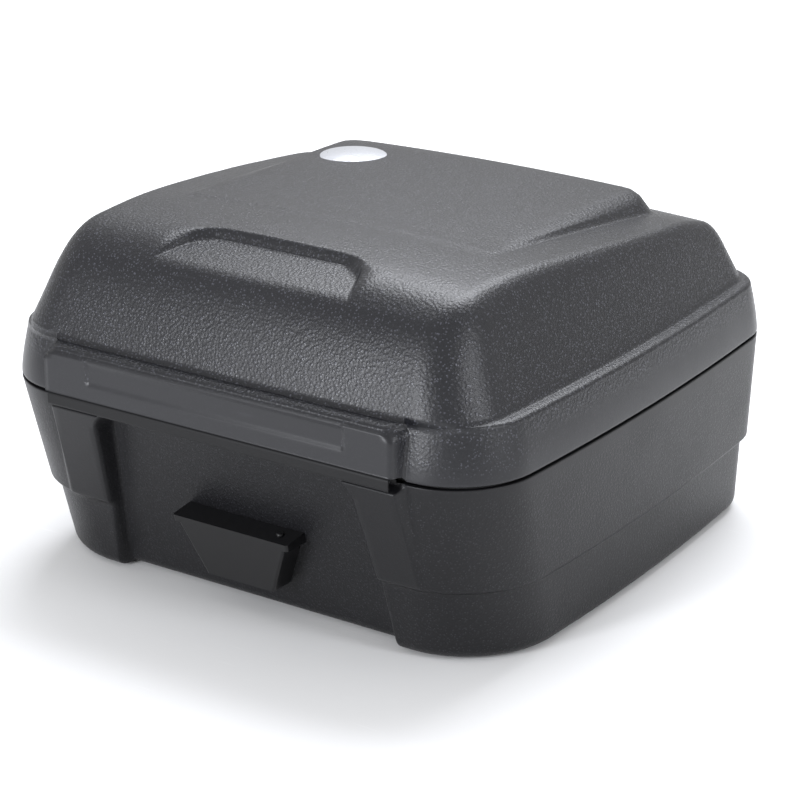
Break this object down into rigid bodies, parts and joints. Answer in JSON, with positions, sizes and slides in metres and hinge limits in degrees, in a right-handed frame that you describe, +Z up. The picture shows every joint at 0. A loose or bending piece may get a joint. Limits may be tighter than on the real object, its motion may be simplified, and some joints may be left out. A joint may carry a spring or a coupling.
{
  "type": "scooter top case",
  "caption": "Hard black top case for a scooter: grained tub and hinged lid with a sloping plateau, silver badge, cam lock and centring wedge.",
  "frame": {"origin": "on the surface that the case stands on, in the middle of its overall box", "axes": "+Z up, -Y towards the rider (hinge side), +Y towards the rear (lock side), +X across"},
  "size_m": [0.42, 0.432, 0.2561],
  "materials": {
    "grained_abs": "charcoal ABS with a fine pebble grain",
    "smooth_abs": "smooth satin charcoal ABS",
    "gloss_black": "semi-gloss black",
    "zinc_steel": "zinc plated",
    "bright_chrome": "nickel-chrome plated",
    "black_rubber": "matt black rubber",
    "red_lens": "moulded red reflector with small prisms",
    "silver_badge": "satin silver dome"
  },
  "bodies": {
    "tub": {"tub_shell": "grained_abs", "wedge_bracket": "gloss_black", "wedge_stud": "gloss_black", "wedge_screws": "zinc_steel", "hinge_leaf": "smooth_abs", "hinge_rod": "zinc_steel", "leaf_rivets": "zinc_steel", "base_plate": "zinc_steel", "plate_screws": "zinc_steel", "floor_mat": "black_rubber", "underside_pads": "black_rubber", "lock_housing": "smooth_abs", "housing_screws": "zinc_steel", "lock_body": "bright_chrome", "lock_nut": "zinc_steel", "rear_reflector_left": "red_lens", "rear_reflector_right": "red_lens"},
    "lock": {"lock_plug": "bright_chrome", "lock_cam": "zinc_steel", "cam_screw": "zinc_steel"},
    "lid": {"lid_shell": "grained_abs", "hinge_channel": "smooth_abs", "channel_rivets": "zinc_steel", "lid_seal": "black_rubber", "striker": "zinc_steel", "striker_screws": "zinc_steel", "badge": "silver_badge"}
  },
  "joints": [
    {"name": "lid_hinge", "type": "hinge", "parent": "tub", "child": "lid", "pos_m": [0, -0.211, 0.139], "axis": [1, 0, 0], "range_deg": [0, 95]},
    {"name": "lock_turn", "type": "hinge", "parent": "tub", "child": "lock", "pos_m": [0, 0.19, 0.116], "axis": [0, 1, 0], "range_deg": [0, 90]}
  ]
}
